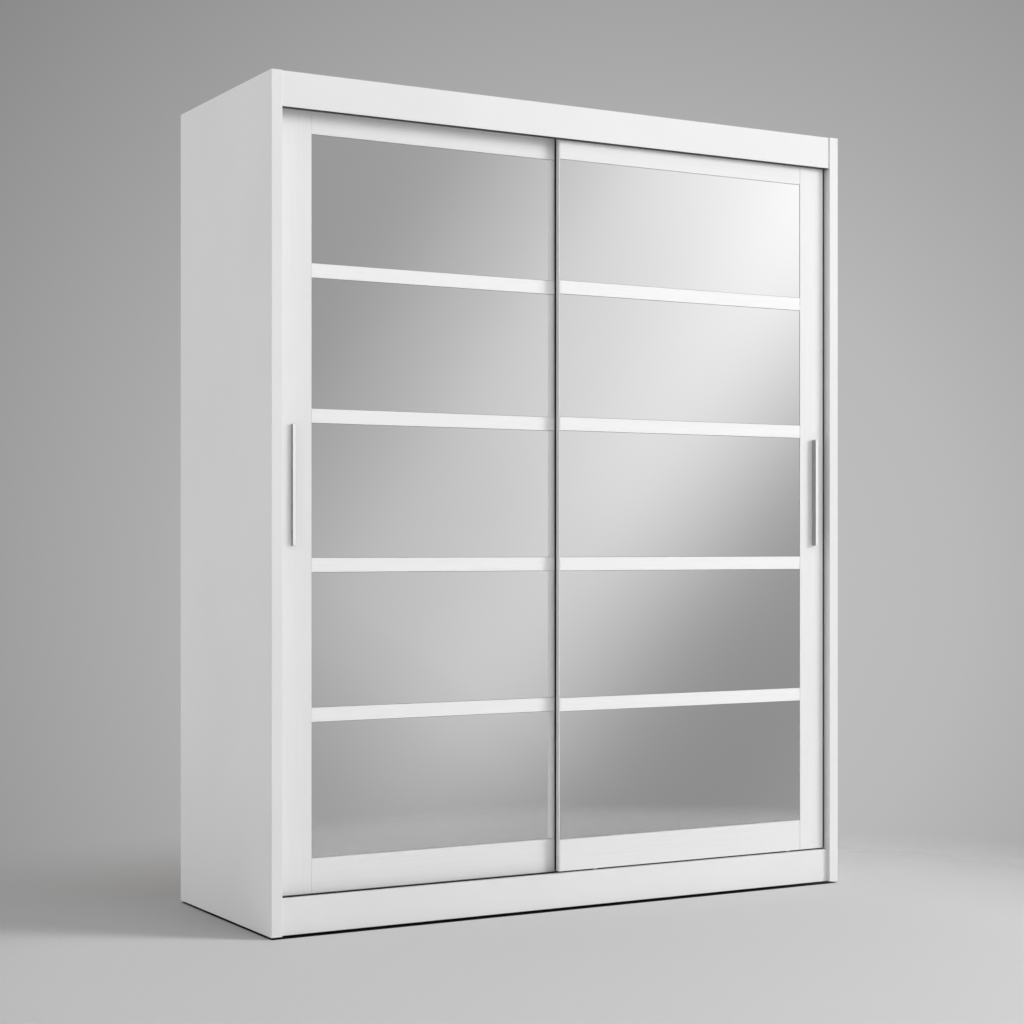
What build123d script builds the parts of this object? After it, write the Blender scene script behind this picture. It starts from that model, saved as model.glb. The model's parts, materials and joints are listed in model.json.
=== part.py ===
import os
from dataclasses import dataclass

from build123d import *

# Two-door sliding wardrobe: a white board case on low glides with two mirrored doors,
# the left one rolling on the rear rib of the bottom track and the right one on the front rib.
# Millimetres, +Z up, the front faces -Y, origin on the floor under the middle of the case.

# Case
case_width = 1800.0
case_depth = 640.0
case_height = 2190.0
side_thickness = 30.0
board_thickness = 18.0
back_thickness = 3.0
back_rebate = 8.0
back_seam = 0.6
glide_height = 6.0
edge_ease = 1.0
end_gap = 0.5

# Cornice and plinths
cornice_height = 90.0
cornice_thickness = 18.0
cornice_setback = 3.5
plinth_height = 93.0
plinth_thickness = 16.0
plinth_setback = 12.0
deck_drop = 4.5

# Doors
core_thickness = 9.0
trim_thickness = 6.0
mirror_thickness = 4.0
front_stile_width = 83.5
rear_stile_width = 95.0
edge_profile_width = 2.0
end_rail_height = 86.5
mid_rail_height = 36.5
# How far each middle rail sits above even spacing, from the lowest up
mid_rail_lifts = (7.5, 13.0, 17.0, 11.0)
door_side_gap = 7.5
door_overlap = 86.4
door_foot_gap = 4.0
# How far the trim of the rear door hangs below its core
rear_trim_drop = 3.5
door_head_cover = 34.0
cornice_clearance = 2.0
trim_ease = 0.8
front_joint_line = 0.8
rear_joint_line = 0.25
mirror_gap = 0.5
mirror_arris = 0.4

# Handles
handle_length = 310.0
handle_width = 8.0
front_handle_projection = 18.0
rear_handle_projection = 10.5
handle_foot = 1.5
handle_foot_length = 20.0
handle_hole_spacing = 256.0
front_handle_inset = 35.5
rear_handle_inset = 42.5
handle_height = 1147.0
handle_ease = 1.2
handle_clearance = 1.5

# Rollers, let into the foot of each door
wheel_width = 5.0
wheel_radius = 15.0
rolling_radius = 13.0
axle_radius = 2.5
turning_fit = 0.05
wheel_head_gap = 2.2
bracket_plate = 2.0
bracket_cheek = 1.0
bracket_width = 46.0
bracket_foot_gap = 3.0
bracket_inset = 122.0

# Bottom track
base_thickness = 2.5
bead_radius = 1.4
bead_height = 4.0
bead_gap = 0.3
base_margin = 10.0

# Top track, guides and buffers
channel_width = 14.0
fin_thickness = 2.0
web_thickness = 2.2
head_gap = 4.0
guide_side_gap = 1.0
guide_length = 50.0
guide_inset = 80.0
guide_plate = 2.5
guide_plate_height = 40.0
guide_bridge = 2.5
guide_screw_bite = 5.5
guide_engagement = 22.0
buffer_length = 20.0
buffer_height = 18.0
buffer_side_gap = 0.1
stop_gap = 0.3

# Seals: pile on the outer edge of each door, pile in front of the left door's inner edge,
# and a flat felt strip on the left door where the right door's inner edge ends
seal_width = 7.0
seal_backing = 1.2
seal_base = 6.4
seal_pile = 4.0
seal_setback = 2.8
lap_seal_setback = 1.0
lap_seal_gap = 0.4
felt_thickness = 0.8
felt_width = 8.0
felt_shift = 4.2
seal_end_gap = 1.0

# Inside
inside_clearance = 9.0
hat_space = 324.0
shelf_count = 4
shelf_setback = 10.0
shelf_end_gap = 0.5
pin_radius = 2.5
pin_depth = 8.0
pin_reach = 9.0
pin_width = 8.0
pin_thickness = 3.0
pin_inset = 60.0
rail_radius = 12.5
rail_wall = 1.2
rail_drop = 65.0
socket_radius = 23.0
socket_flange = 4.0
socket_cup = 14.0
socket_wall = 2.8
socket_fit = 0.2
socket_screw_circle = 19.2

# Fittings
cam_radius = 7.5
cam_depth = 13.0
cam_reach = 24.0
cam_inset = 70.0
bolt_shank_radius = 3.0
bolt_thread_radius = 4.0
bolt_thread_length = 11.0
fitting_gap = 0.1
shank_gap = 0.4
dowel_radius = 4.0
dowel_length = 24.0
dowel_count = 5
glide_radius = 10.0
glide_stem_radius = 2.0
glide_stem_length = 12.0
glide_inset = 40.0
glide_ease = 1.2
wall_bracket_leg = 40.0
wall_bracket_width = 24.0
wall_bracket_thickness = 2.0
wall_bracket_spacing = 1200.0
wall_hole_radius = 3.0
wall_hole_drop = 26.0
back_hole_radius = 4.0
nail_radius = 0.9
nail_head_radius = 2.2
nail_head_height = 0.8
nail_bite = 14.0
nail_inset = 60.0
nail_count = 8
nail_row_count = 3
screw_radius = 1.75
screw_head_radius = 2.8
screw_head_height = 1.8
screw_bite = 7.0
screw_hole_gap = 0.05
handle_screw_radius = 2.0
handle_screw_head_radius = 3.8
handle_screw_bite = 8.0
counterbore_depth = 2.6

# Planes of the case
front = -case_depth / 2
rear = case_depth / 2
inner_half = case_width / 2 - side_thickness
back_inner = rear - back_thickness
top_under = case_height - board_thickness
plinth_top = glide_height + plinth_height
deck_top = plinth_top - deck_drop
deck_under = deck_top - board_thickness
cornice_back = front + cornice_setback + cornice_thickness
plinth_back = front + plinth_setback + plinth_thickness

# Planes of the doors
door_thickness = core_thickness + trim_thickness
door_bottom = plinth_top + door_foot_gap
door_top = case_height - cornice_height + door_head_cover
door_outer = inner_half - door_side_gap
door_width = door_outer + door_overlap / 2
door_travel = 2 * door_outer - door_width
# The left door's handle passes behind the right door
door_gap = rear_handle_projection + handle_clearance
front_door_face = cornice_back + cornice_clearance
rear_door_face = front_door_face + door_thickness + door_gap
pane_low = door_bottom + end_rail_height
pane_high = door_top - end_rail_height

# Planes of the rollers and tracks
base_top = deck_top + base_thickness
bead_top = base_top + bead_height
axle_height = bead_top + bead_gap + rolling_radius
wheel_offset = trim_thickness + core_thickness / 2
bracket_low = door_bottom + bracket_foot_gap
web_low = axle_height + wheel_radius + wheel_head_gap
pocket_top = web_low + bracket_plate
track_bottom = door_top + head_gap
inside_front = rear_door_face + door_thickness + screw_head_height + inside_clearance
partition_half = board_thickness / 2

# Shelves: low face of each board, and the side of the partition it is on
shelf_front = inside_front + shelf_setback
shelf_space = (top_under - deck_top - shelf_count * board_thickness) / (shelf_count + 1)
hat_shelf_low = top_under - hat_space - board_thickness
right_shelf_lows = [
    deck_top + (i + 1) * shelf_space + i * board_thickness for i in range(shelf_count)
]
shelf_places = [(-1, hat_shelf_low)] + [(1, low) for low in right_shelf_lows]
pin_rows = (shelf_front + pin_inset, back_inner - pin_inset)
rail_y = (inside_front + back_inner) / 2
rail_z = hat_shelf_low - rail_drop
cam_rows = (inside_front + cam_inset, back_inner - cam_inset)
dowel_step = 2 * inner_half / (dowel_count + 1)
dowel_places = [-inner_half + (i + 1) * dowel_step for i in range(dowel_count)]
bracket_places = (-wall_bracket_spacing / 2, wall_bracket_spacing / 2)


@dataclass
class Door:
    name: str
    side: int
    face: float
    stile_width: float
    joint_line: float
    handle_inset: float
    handle_projection: float
    trim_drop: float

    @property
    def back(self):
        return self.face + door_thickness

    @property
    def core_front(self):
        return self.face + trim_thickness

    @property
    def middle(self):
        return self.face + door_thickness / 2

    @property
    def trim_foot(self):
        return door_bottom - self.trim_drop

    @property
    def wheel_y(self):
        return self.face + wheel_offset

    # Position at a distance inwards from the door's outer edge
    def at(self, distance):
        return self.side * (door_outer - distance)

    def across(self, start, end):
        return sorted((self.at(start), self.at(end)))


left_door = Door(
    name="left_door",
    side=-1,
    face=rear_door_face,
    stile_width=rear_stile_width,
    joint_line=rear_joint_line,
    handle_inset=rear_handle_inset,
    handle_projection=rear_handle_projection,
    trim_drop=rear_trim_drop,
)
right_door = Door(
    name="right_door",
    side=1,
    face=front_door_face,
    stile_width=front_stile_width,
    joint_line=front_joint_line,
    handle_inset=front_handle_inset,
    handle_projection=front_handle_projection,
    trim_drop=0.0,
)
doors = (left_door, right_door)


def save(piece, name):
    piece.label = name
    export_step(piece, f"parts/{name}.step")


# A box over three ranges
def block(x, y, z, mode=Mode.ADD):
    ranges = (x, y, z)
    centre = tuple((low + high) / 2 for low, high in ranges)
    with Locations(centre):
        Box(*[high - low for low, high in ranges], mode=mode)


# A range of a given width around a middle
def around(middle, width):
    return (middle - width / 2, middle + width / 2)


# A round bar or hole from a start point along a direction
def rod(start, direction, radius, length, mode=Mode.ADD):
    with BuildSketch(Plane(origin=start, z_dir=direction)) as section:
        Circle(radius)
    extrude(section.sketch, amount=length, mode=mode)


def hole(start, direction, radius, length):
    rod(start, direction, radius, length, mode=Mode.SUBTRACT)


# A screw whose head rests at the given seat and whose shank runs along the direction
def screw(seat, direction, radius, length, head_radius):
    outward = [-step for step in direction]
    rod(seat, direction, radius, length)
    rod(seat, outward, head_radius, screw_head_height)


def moved(point, direction, distance):
    return [start + step * distance for start, step in zip(point, direction)]


# The corner joints held by cam fittings: point on the joint, way into the panel that
# holds the disc, and way from the bolt to the face the disc is let into
def panel_cams(height, face_way):
    return [
        ((side * inner_half, y, height), (-side, 0, 0), (0, 0, face_way))
        for side in (-1, 1)
        for y in cam_rows
    ]


top_cams = panel_cams(case_height - board_thickness / 2, 1)
deck_cams = panel_cams(deck_top - board_thickness / 2, -1)
partition_cams = [
    ((0, y, height), (0, 0, way), (1, 0, 0))
    for height, way in ((deck_top, 1), (top_under, -1))
    for y in cam_rows
]


def cam_disc_start(point, way, face_way):
    centre = moved(point, way, cam_reach)
    return moved(centre, face_way, board_thickness / 2)


def cut_cam_pocket(point, way, face_way):
    inward = [-step for step in face_way]
    hole(cam_disc_start(point, way, face_way), inward, cam_radius + fitting_gap, cam_depth + fitting_gap)
    hole(point, way, bolt_shank_radius + shank_gap, cam_reach)


def cut_cam_thread(point, way):
    outward = [-step for step in way]
    hole(point, outward, bolt_thread_radius + fitting_gap, bolt_thread_length + fitting_gap)


def cut_pin_holes(wall, way, lows):
    for low in lows:
        for y in pin_rows:
            hole((wall, y, low - pin_radius), way, pin_radius + screw_hole_gap, pin_depth + fitting_gap)


socket_screw_places = [
    (rail_y + socket_screw_circle, rail_z),
    (rail_y - socket_screw_circle, rail_z),
]


def cut_socket_holes(wall, way):
    for y, z in socket_screw_places:
        hole((wall, y, z), way, screw_radius + screw_hole_gap, screw_bite + fitting_gap)


def cut_glide_hole(x, y):
    hole((x, y, glide_height), (0, 0, 1), glide_stem_radius + screw_hole_gap,
         glide_stem_length + fitting_gap)


# Nails that hold the back sheets: rows up the side panels and the partition, and along
# the edges of the top and bottom panels
nail_start = deck_under + nail_inset
nail_step = (case_height - nail_inset - nail_start) / (nail_count - 1)
nail_heights = [nail_start + i * nail_step for i in range(nail_count)]
nail_columns = [side * x for side in (-1, 1) for x in (inner_half + back_rebate / 2, partition_half / 2)]
nail_row_places = [
    side * (i + 1) * inner_half / (nail_row_count + 1) for side in (-1, 1) for i in range(nail_row_count)
]
side_nails = [(x, z) for x in nail_columns for z in nail_heights]
row_nails = [
    (x, z)
    for x in nail_row_places
    for z in (deck_top - board_thickness / 2, case_height - board_thickness / 2)
]


def cut_nail_holes(places):
    for x, z in places:
        hole((x, back_inner, z), (0, -1, 0), nail_radius + screw_hole_gap, nail_bite + fitting_gap)


side_middle = inner_half + side_thickness / 2
rear_plinth_middle = back_inner - end_gap - plinth_thickness / 2
side_glides = [
    (side * side_middle, y) for side in (-1, 1) for y in (front + glide_inset, rear - glide_inset)
]
plinth_glides = [(x, rear_plinth_middle) for x in (-inner_half / 2, inner_half / 2)]


def side_panel(name, side):
    wall = side * inner_half
    outside = side * case_width / 2
    rebate = wall + side * back_rebate
    lows = [low for shelf_side, low in shelf_places if shelf_side == side]
    with BuildPart() as panel:
        block(sorted((wall, outside)), (front, rear), (glide_height, case_height))
        fillet(panel.edges().filter_by(Axis.Z).group_by(Axis.Y)[0], edge_ease)
        block(sorted((wall, rebate)), (back_inner, rear), (glide_height, case_height), Mode.SUBTRACT)
        for point, way, _ in top_cams + deck_cams:
            if point[0] == wall:
                cut_cam_thread(point, way)
        cut_pin_holes(wall, (side, 0, 0), lows)
        if side < 0:
            cut_socket_holes(wall, (side, 0, 0))
        for x, y in side_glides:
            if x == side * side_middle:
                cut_glide_hole(x, y)
        cut_nail_holes([(x, z) for x, z in side_nails if x * side > inner_half])
    save(panel.part, name)


# Where the top track is screwed to the top panel and the bottom track to the bottom panel
track_screw_rows = [-inner_half * 0.8, -inner_half * 0.4, 0.0, inner_half * 0.4, inner_half * 0.8]
track_screw_y = (left_door.middle + right_door.middle) / 2
base_screw_y = (left_door.wheel_y + right_door.wheel_y) / 2
bracket_screw_y = back_inner - wall_hole_drop


def top_panel():
    with BuildPart() as panel:
        block((-inner_half, inner_half), (cornice_back, back_inner), (top_under, case_height))
        for point, way, face_way in top_cams:
            cut_cam_pocket(point, way, face_way)
        for point, way, _ in partition_cams:
            if point[2] == top_under:
                cut_cam_thread(point, way)
        for x in dowel_places:
            hole(
                (x, cornice_back, case_height - board_thickness / 2),
                (0, 1, 0),
                dowel_radius + screw_hole_gap,
                dowel_length / 2 + fitting_gap,
            )
        for x in track_screw_rows:
            hole((x, track_screw_y, top_under), (0, 0, 1), screw_radius + screw_hole_gap,
                 screw_bite + fitting_gap)
        for x in bracket_places:
            hole(
                (x, bracket_screw_y, top_under),
                (0, 0, 1),
                screw_radius + screw_hole_gap,
                screw_bite + fitting_gap,
            )
        cut_nail_holes([(x, z) for x, z in row_nails if z > top_under])
    save(panel.part, "top_panel")


def bottom_panel():
    with BuildPart() as panel:
        block((-inner_half, inner_half), (plinth_back, back_inner), (deck_under, deck_top))
        for point, way, face_way in deck_cams:
            cut_cam_pocket(point, way, face_way)
        for point, way, _ in partition_cams:
            if point[2] == deck_top:
                cut_cam_thread(point, way)
        for x in dowel_places:
            hole(
                (x, plinth_back, deck_top - board_thickness / 2),
                (0, 1, 0),
                dowel_radius + screw_hole_gap,
                dowel_length / 2 + fitting_gap,
            )
        for x in track_screw_rows:
            hole((x, base_screw_y, deck_top), (0, 0, -1), screw_radius + screw_hole_gap,
                 screw_bite + fitting_gap)
        cut_nail_holes([(x, z) for x, z in row_nails if z < deck_top])
    save(panel.part, "bottom_panel")


def middle_partition():
    with BuildPart() as panel:
        block((-partition_half, partition_half), (inside_front, back_inner), (deck_top, top_under))
        fillet(panel.edges().filter_by(Axis.Z).group_by(Axis.Y)[0], edge_ease)
        for point, way, face_way in partition_cams:
            cut_cam_pocket(point, way, face_way)
        cut_pin_holes(-partition_half, (1, 0, 0), [hat_shelf_low])
        cut_pin_holes(partition_half, (-1, 0, 0), right_shelf_lows)
        cut_socket_holes(-partition_half, (1, 0, 0))
        cut_nail_holes([(x, z) for x, z in side_nails if abs(x) < partition_half])
    save(panel.part, "middle_partition")


def back_panel(name, side):
    outside = side * (inner_half + back_rebate - end_gap)
    seam = side * back_seam / 2
    with BuildPart() as sheet:
        block(sorted((seam, outside)), (back_inner, rear), (deck_under, case_height))
        for x in bracket_places:
            if x * side > 0:
                hole((x, back_inner, top_under - wall_hole_drop), (0, 1, 0), back_hole_radius,
                     back_thickness)
        for x, z in side_nails + row_nails:
            if x * side > 0:
                hole((x, rear, z), (0, -1, 0), nail_radius + screw_hole_gap, back_thickness)
                hole((x, rear, z), (0, -1, 0), nail_head_radius + screw_hole_gap, nail_head_height)
    save(sheet.part, name)


def cornice():
    half = inner_half - end_gap
    with BuildPart() as board:
        block((-half, half), (cornice_back - cornice_thickness, cornice_back),
              (case_height - cornice_height, case_height))
        fillet(board.edges().filter_by(Axis.X).group_by(Axis.Y)[0], edge_ease)
        for x in dowel_places:
            hole(
                (x, cornice_back, case_height - board_thickness / 2),
                (0, -1, 0),
                dowel_radius + screw_hole_gap,
                dowel_length / 2 + fitting_gap,
            )
    save(board.part, "cornice")


def front_plinth():
    half = inner_half - end_gap
    with BuildPart() as board:
        block((-half, half), (plinth_back - plinth_thickness, plinth_back), (glide_height, plinth_top))
        fillet(board.edges().filter_by(Axis.X).group_by(Axis.Y)[0], edge_ease)
        for x in dowel_places:
            hole(
                (x, plinth_back, deck_top - board_thickness / 2),
                (0, -1, 0),
                dowel_radius + screw_hole_gap,
                dowel_length / 2 + fitting_gap,
            )
    save(board.part, "front_plinth")


def rear_plinth():
    half = inner_half - end_gap
    low = rear_plinth_middle - plinth_thickness / 2
    with BuildPart() as board:
        block((-half, half), (low, low + plinth_thickness), (glide_height, deck_under))
        for x, y in plinth_glides:
            cut_glide_hole(x, y)
    save(board.part, "rear_plinth")


def top_track():
    half = inner_half - end_gap
    low = right_door.middle - channel_width / 2 - fin_thickness
    high = left_door.middle + channel_width / 2 + fin_thickness
    with BuildPart() as track:
        block((-half, half), (low, high), (top_under - web_thickness, top_under))
        for door in doors:
            for side in (-1, 1):
                fin = door.middle + side * (channel_width + fin_thickness) / 2
                block((-half, half), around(fin, fin_thickness), (track_bottom, top_under))
        for x in track_screw_rows:
            hole((x, track_screw_y, top_under), (0, 0, -1), screw_radius + screw_hole_gap, web_thickness)
    save(track.part, "top_track")


def bottom_track():
    half = inner_half - end_gap
    ribs = [door.wheel_y for door in doors]
    bead_centre = bead_top - bead_radius
    with BuildPart() as track:
        block((-half, half), (plinth_back + end_gap, max(ribs) + base_margin), (deck_top, base_top))
        for y in ribs:
            block((-half, half), (y - bead_radius, y + bead_radius), (base_top, bead_centre))
            rod((-half, y, bead_centre), (1, 0, 0), bead_radius, 2 * half)
        for x in track_screw_rows:
            hole((x, base_screw_y, deck_top), (0, 0, 1), screw_radius + screw_hole_gap, base_thickness)
    save(track.part, "bottom_track")


def shelf_span(side):
    return sorted((side * (partition_half + shelf_end_gap), side * (inner_half - shelf_end_gap)))


def shelves():
    with BuildPart() as boards:
        for side, low in shelf_places:
            block(shelf_span(side), (shelf_front, back_inner - end_gap), (low, low + board_thickness))
    save(boards.part, "shelves")


def shelf_pins():
    with BuildPart() as pins:
        for side, low in shelf_places:
            for wall, way in ((side * inner_half, -side), (side * partition_half, side)):
                for y in pin_rows:
                    rod((wall - way * pin_depth, y, low - pin_radius), (way, 0, 0), pin_radius, pin_depth)
                    block(
                        sorted((wall, wall + way * pin_reach)),
                        (y - pin_width / 2, y + pin_width / 2),
                        (low - pin_thickness, low),
                    )
    save(pins.part, "shelf_pins")


def hanging_rail():
    start = -inner_half + socket_flange + end_gap
    end = -partition_half - socket_flange - end_gap
    with BuildPart() as rail:
        rod((start, rail_y, rail_z), (1, 0, 0), rail_radius, end - start)
        hole((start, rail_y, rail_z), (1, 0, 0), rail_radius - rail_wall, end - start)
    save(rail.part, "hanging_rail")


def rail_sockets():
    bore = rail_radius + socket_fit
    with BuildPart() as sockets:
        for wall, way in ((-inner_half, 1), (-partition_half, -1)):
            rod((wall, rail_y, rail_z), (way, 0, 0), socket_radius, socket_flange)
            cup_start = (wall + way * socket_flange, rail_y, rail_z)
            rod(cup_start, (way, 0, 0), bore + socket_wall, socket_cup)
            hole(cup_start, (way, 0, 0), bore, socket_cup)
            for y, z in socket_screw_places:
                hole((wall, y, z), (way, 0, 0), screw_radius + screw_hole_gap, socket_flange)
    save(sockets.part, "rail_sockets")


def cam_fittings():
    with BuildPart() as fittings:
        for point, way, face_way in top_cams + deck_cams + partition_cams:
            outward = [-step for step in way]
            inward = [-step for step in face_way]
            rod(cam_disc_start(point, way, face_way), inward, cam_radius, cam_depth)
            hole(point, way, bolt_shank_radius + shank_gap, cam_reach + bolt_shank_radius)
            rod(point, outward, bolt_thread_radius, bolt_thread_length)
            rod(point, way, bolt_shank_radius, cam_reach)
    save(fittings.part, "cam_fittings")


def wood_dowels():
    joints = (
        (cornice_back, case_height - board_thickness / 2),
        (plinth_back, deck_top - board_thickness / 2),
    )
    with BuildPart() as dowels:
        for y, z in joints:
            for x in dowel_places:
                rod((x, y - dowel_length / 2, z), (0, 1, 0), dowel_radius, dowel_length)
    save(dowels.part, "wood_dowels")


def floor_glides():
    with BuildPart() as glides:
        for x, y in side_glides + plinth_glides:
            rod((x, y, 0), (0, 0, 1), glide_radius, glide_height)
            rod((x, y, glide_height), (0, 0, 1), glide_stem_radius, glide_stem_length)
        fillet(glides.faces().group_by(Axis.Z)[0].edges(), glide_ease)
    save(glides.part, "floor_glides")


def wall_brackets():
    with BuildPart() as brackets:
        for x in bracket_places:
            span = (x - wall_bracket_width / 2, x + wall_bracket_width / 2)
            block(span, (back_inner - wall_bracket_leg, back_inner),
                  (top_under - wall_bracket_thickness, top_under))
            block(span, (back_inner - wall_bracket_thickness, back_inner),
                  (top_under - wall_bracket_leg, top_under))
            hole((x, back_inner, top_under - wall_hole_drop), (0, -1, 0), wall_hole_radius,
                 wall_bracket_thickness)
            hole((x, bracket_screw_y, top_under), (0, 0, -1), screw_radius + screw_hole_gap,
                 wall_bracket_thickness)
    save(brackets.part, "wall_brackets")


def door_buffers():
    half = channel_width / 2 - buffer_side_gap
    closed_stop = guide_inset - guide_length / 2 - stop_gap
    open_stop = door_width - guide_inset + guide_length / 2 + door_travel + stop_gap
    high = top_under - web_thickness
    with BuildPart() as buffers:
        for door in doors:
            for start, way in ((closed_stop, -1), (open_stop, 1)):
                block(
                    door.across(start, start + way * buffer_length),
                    (door.middle - half, door.middle + half),
                    (high - buffer_height, high),
                )
    save(buffers.part, "door_buffers")


def case_screws():
    with BuildPart() as screws:
        for x in track_screw_rows:
            screw((x, track_screw_y, top_under - web_thickness), (0, 0, 1), screw_radius,
                  web_thickness + screw_bite, screw_head_radius)
            screw((x, base_screw_y, base_top), (0, 0, -1), screw_radius,
                  base_thickness + screw_bite, screw_head_radius)
        for x in bracket_places:
            screw((x, bracket_screw_y, top_under - wall_bracket_thickness), (0, 0, 1), screw_radius,
                  wall_bracket_thickness + screw_bite, screw_head_radius)
        for wall, way in ((-inner_half, 1), (-partition_half, -1)):
            for y, z in socket_screw_places:
                screw((wall + way * socket_flange, y, z), (-way, 0, 0), screw_radius,
                      socket_flange + screw_bite, screw_head_radius)
        for x, z in side_nails + row_nails:
            rod((x, rear, z), (0, -1, 0), nail_head_radius, nail_head_height)
            rod((x, rear, z), (0, -1, 0), nail_radius, back_thickness + nail_bite)
    save(screws.part, "case_screws")


def handle_screw_heights():
    return (handle_height - handle_hole_spacing / 2, handle_height + handle_hole_spacing / 2)


# Two screws for each guide at the head of a door and for each roller bracket at its foot
guide_screw_height = door_top - guide_plate_height / 2
guide_shifts = (-guide_length / 4, guide_length / 4)
bracket_shifts = (-bracket_width / 4, bracket_width / 4)


def guide_places(door):
    return (door.at(guide_inset), door.at(door_width - guide_inset))


def roller_places(door):
    return (door.at(bracket_inset), door.at(door_width - bracket_inset))


def guide_screw_places(door):
    return [x + shift for x in guide_places(door) for shift in guide_shifts]


def bracket_screw_places(door):
    return [x + shift for x in roller_places(door) for shift in bracket_shifts]


def door_core(door):
    handle_x = door.at(door.handle_inset)
    with BuildPart() as core:
        block(door.across(0, door_width), (door.core_front, door.back), (door_bottom, door_top))
        for z in handle_screw_heights():
            hole((handle_x, door.back, z), (0, -1, 0), handle_screw_radius + fitting_gap, core_thickness)
            hole((handle_x, door.back, z), (0, -1, 0), handle_screw_head_radius + fitting_gap,
                 counterbore_depth)
        for x in guide_places(door):
            block(
                around(x, guide_length + 2 * fitting_gap),
                (door.back - guide_plate, door.back),
                (door_top - guide_plate_height - fitting_gap, door_top),
                Mode.SUBTRACT,
            )
        for x in guide_screw_places(door):
            hole((x, door.back, guide_screw_height), (0, -1, 0), screw_radius + screw_hole_gap,
                 guide_plate + guide_screw_bite + fitting_gap)
        for x in roller_places(door):
            block(
                around(x, bracket_width + 2 * fitting_gap),
                (door.core_front, door.back),
                (door_bottom, pocket_top),
                Mode.SUBTRACT,
            )
        for x in bracket_screw_places(door):
            hole((x, door.wheel_y, pocket_top), (0, 0, 1), screw_radius + screw_hole_gap,
                 screw_bite + fitting_gap)
    save(core.part, f"{door.name}_core")


def door_stile(door):
    handle_x = door.at(door.handle_inset)
    with BuildPart() as stile:
        block(door.across(0, door.stile_width), (door.face, door.core_front), (door.trim_foot, door_top))
        fillet(stile.edges().group_by(Axis.Y)[0], trim_ease)
        for z in handle_screw_heights():
            hole((handle_x, door.core_front, z), (0, -1, 0), handle_screw_radius + fitting_gap,
                 trim_thickness)
    save(stile.part, f"{door.name}_stile")


def door_edge_profile(door):
    with BuildPart() as profile:
        block(
            door.across(door_width - edge_profile_width, door_width),
            (door.face, door.core_front),
            (door.trim_foot, door_top),
        )
        fillet(profile.edges().group_by(Axis.Y)[0], trim_ease)
    save(profile.part, f"{door.name}_edge_profile")


def rail_span(door):
    start = door.stile_width + door.joint_line
    return door.across(start, door_width - edge_profile_width - door.joint_line)


def mid_rail_lows():
    count = len(mid_rail_lifts)
    pane = (pane_high - pane_low - count * mid_rail_height) / (count + 1)
    return [
        pane_low + (i + 1) * pane + i * mid_rail_height + lift for i, lift in enumerate(mid_rail_lifts)
    ]


def door_rails(door, name, lows, height):
    with BuildPart() as rails:
        for low in lows:
            block(rail_span(door), (door.face, door.core_front), (low, low + height))
        fillet(rails.edges().group_by(Axis.Y)[0], trim_ease)
    save(rails.part, f"{door.name}_{name}")


def door_mirrors(door):
    floors = [pane_low] + [low + mid_rail_height for low in mid_rail_lows()]
    ceilings = mid_rail_lows() + [pane_high]
    panes = list(zip(floors, ceilings))
    panes.reverse()
    span = door.across(door.stile_width + mirror_gap, door_width - edge_profile_width - mirror_gap)
    for number, (low, high) in enumerate(panes, start=1):
        with BuildPart() as mirror:
            block(
                span,
                (door.core_front - mirror_thickness, door.core_front),
                (low + mirror_gap, high - mirror_gap),
            )
            chamfer(mirror.edges().group_by(Axis.Y)[0], mirror_arris)
        save(mirror.part, f"{door.name}_mirror_{number}")


def door_handle(door):
    x = door.at(door.handle_inset)
    span = (x - handle_width / 2, x + handle_width / 2)
    half = handle_length / 2
    with BuildPart() as handle:
        block(
            span,
            (door.face - door.handle_projection, door.face - handle_foot),
            (handle_height - half, handle_height + half),
        )
        fillet(handle.edges().group_by(Axis.Y)[0], handle_ease)
        for z in handle_screw_heights():
            block(
                span,
                (door.face - handle_foot, door.face),
                (z - handle_foot_length / 2, z + handle_foot_length / 2),
            )
            hole((x, door.face, z), (0, -1, 0), handle_screw_radius + screw_hole_gap,
                 handle_screw_bite + fitting_gap)
    save(handle.part, f"{door.name}_handle")


def door_seals(door):
    middle = door.face + seal_setback + seal_base / 2
    span = (door_bottom + seal_end_gap, door_top - seal_end_gap)
    with BuildPart() as seals:
        block(door.across(0, -seal_backing), around(middle, seal_base), span)
        block(door.across(-seal_backing, -seal_width), around(middle, seal_pile), span)
        if door is left_door:
            felt = right_door.at(door_width) + felt_shift
            block(around(felt, felt_width), (door.face - felt_thickness, door.face), span)
            lap = door.at(door_width - lap_seal_setback - seal_base / 2)
            lap_span = (span[0], door_top - guide_plate_height - seal_end_gap)
            pile_front = door.face - door_gap + lap_seal_gap
            block(around(lap, seal_base), (door.face - seal_backing, door.face), lap_span)
            block(around(lap, seal_pile), (pile_front, door.face - seal_backing), lap_span)
    save(seals.part, f"{door.name}_pile_seals")


# A guide: plate let into the back of the door, bridge over its head, tongue in the channel
def door_guides(door):
    tongue = channel_width - 2 * guide_side_gap
    front_side = door.middle - tongue / 2
    with BuildPart() as guides:
        for x in guide_places(door):
            span = around(x, guide_length)
            block(span, (door.back - guide_plate, door.back), (door_top - guide_plate_height, door_top))
            block(span, (front_side, door.back), (door_top, door_top + guide_bridge))
            block(
                span,
                around(door.middle, tongue),
                (door_top + guide_bridge, track_bottom + guide_engagement),
            )
        for x in guide_screw_places(door):
            hole((x, door.back, guide_screw_height), (0, -1, 0), screw_radius + screw_hole_gap, guide_plate)
    save(guides.part, f"{door.name}_top_guides")


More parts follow.
